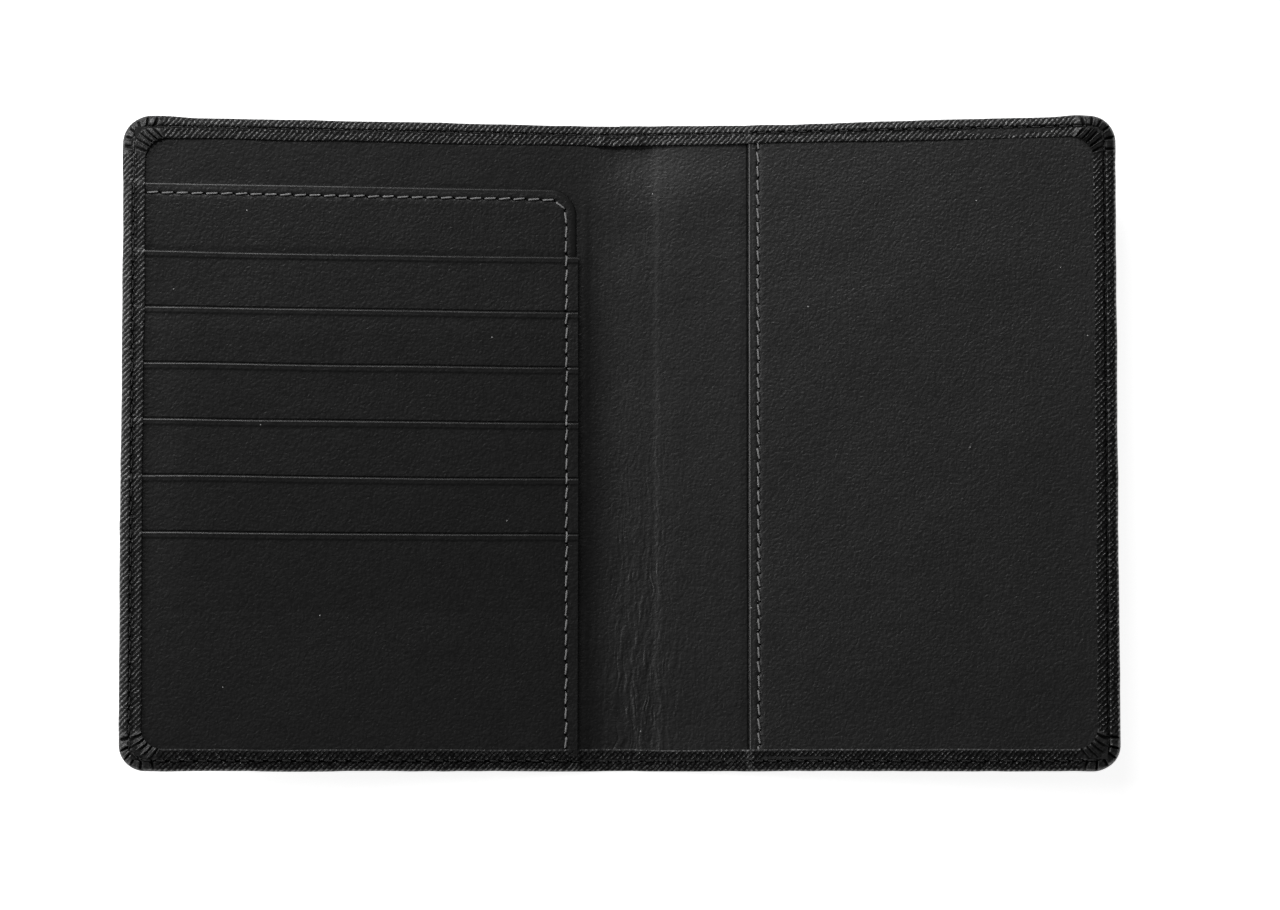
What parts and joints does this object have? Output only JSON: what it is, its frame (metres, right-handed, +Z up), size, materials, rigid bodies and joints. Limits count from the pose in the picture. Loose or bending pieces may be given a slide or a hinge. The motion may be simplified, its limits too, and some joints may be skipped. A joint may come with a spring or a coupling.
{
  "type": "passport holder",
  "caption": "Open leather passport holder: stepped card pockets on one cover, a passport sleeve on the other, a soft folding spine and a turned, stitched hem.",
  "frame": {"origin": "under the middle of the spine, on the surface that the open holder lies on", "axes": "+X along the open width, from the card side towards the passport side; +Y towards the holder's head; +Z up, out of the inside faces"},
  "size_m": [0.2126, 0.14, 0.0181],
  "materials": {
    "outer_leather": "satin",
    "nappa_leather": "satin",
    "fibre_board": "matte",
    "lining_fabric": "matte",
    "grey_thread": "matte",
    "black_thread": "satin"
  },
  "bodies": {
    "spine": {"spine_leather": "outer_leather", "spine_interlining": "lining_fabric", "spine_lining": "nappa_leather", "spine_stitching_top": "black_thread", "spine_stitching_bottom": "black_thread"},
    "card_cover": {"card_cover_leather": "outer_leather", "card_cover_stiffener": "fibre_board", "card_cover_lining": "nappa_leather", "card_panel": "nappa_leather", "card_pocket_1": "nappa_leather", "card_pocket_2": "nappa_leather", "card_pocket_3": "nappa_leather", "card_pocket_4": "nappa_leather", "card_pocket_5": "nappa_leather", "card_pocket_6": "nappa_leather", "pocket_tail_1": "lining_fabric", "pocket_tail_2": "lining_fabric", "pocket_tail_3": "lining_fabric", "pocket_tail_4": "lining_fabric", "pocket_tail_5": "lining_fabric", "card_panel_stitching": "grey_thread", "card_cover_hem_stitching": "black_thread"},
    "passport_cover": {"passport_cover_leather": "outer_leather", "passport_cover_stiffener": "fibre_board", "passport_cover_lining": "nappa_leather", "passport_sleeve": "nappa_leather", "passport_sleeve_backing": "lining_fabric", "passport_sleeve_stitching": "grey_thread", "passport_cover_hem_stitching": "black_thread"}
  },
  "joints": [
    {"name": "card_fold", "type": "hinge", "parent": "spine", "child": "card_cover", "pos_m": [-0.007, 0, 0.0022], "axis": [0, 1, 0], "range_deg": [-8, 82]},
    {"name": "passport_fold", "type": "hinge", "parent": "spine", "child": "passport_cover", "pos_m": [0.007, 0, 0.0022], "axis": [0, -1, 0], "range_deg": [-8, 82]}
  ],
  "couplings": [
    {"joint": "passport_fold", "follows": "card_fold", "ratio": 1}
  ]
}
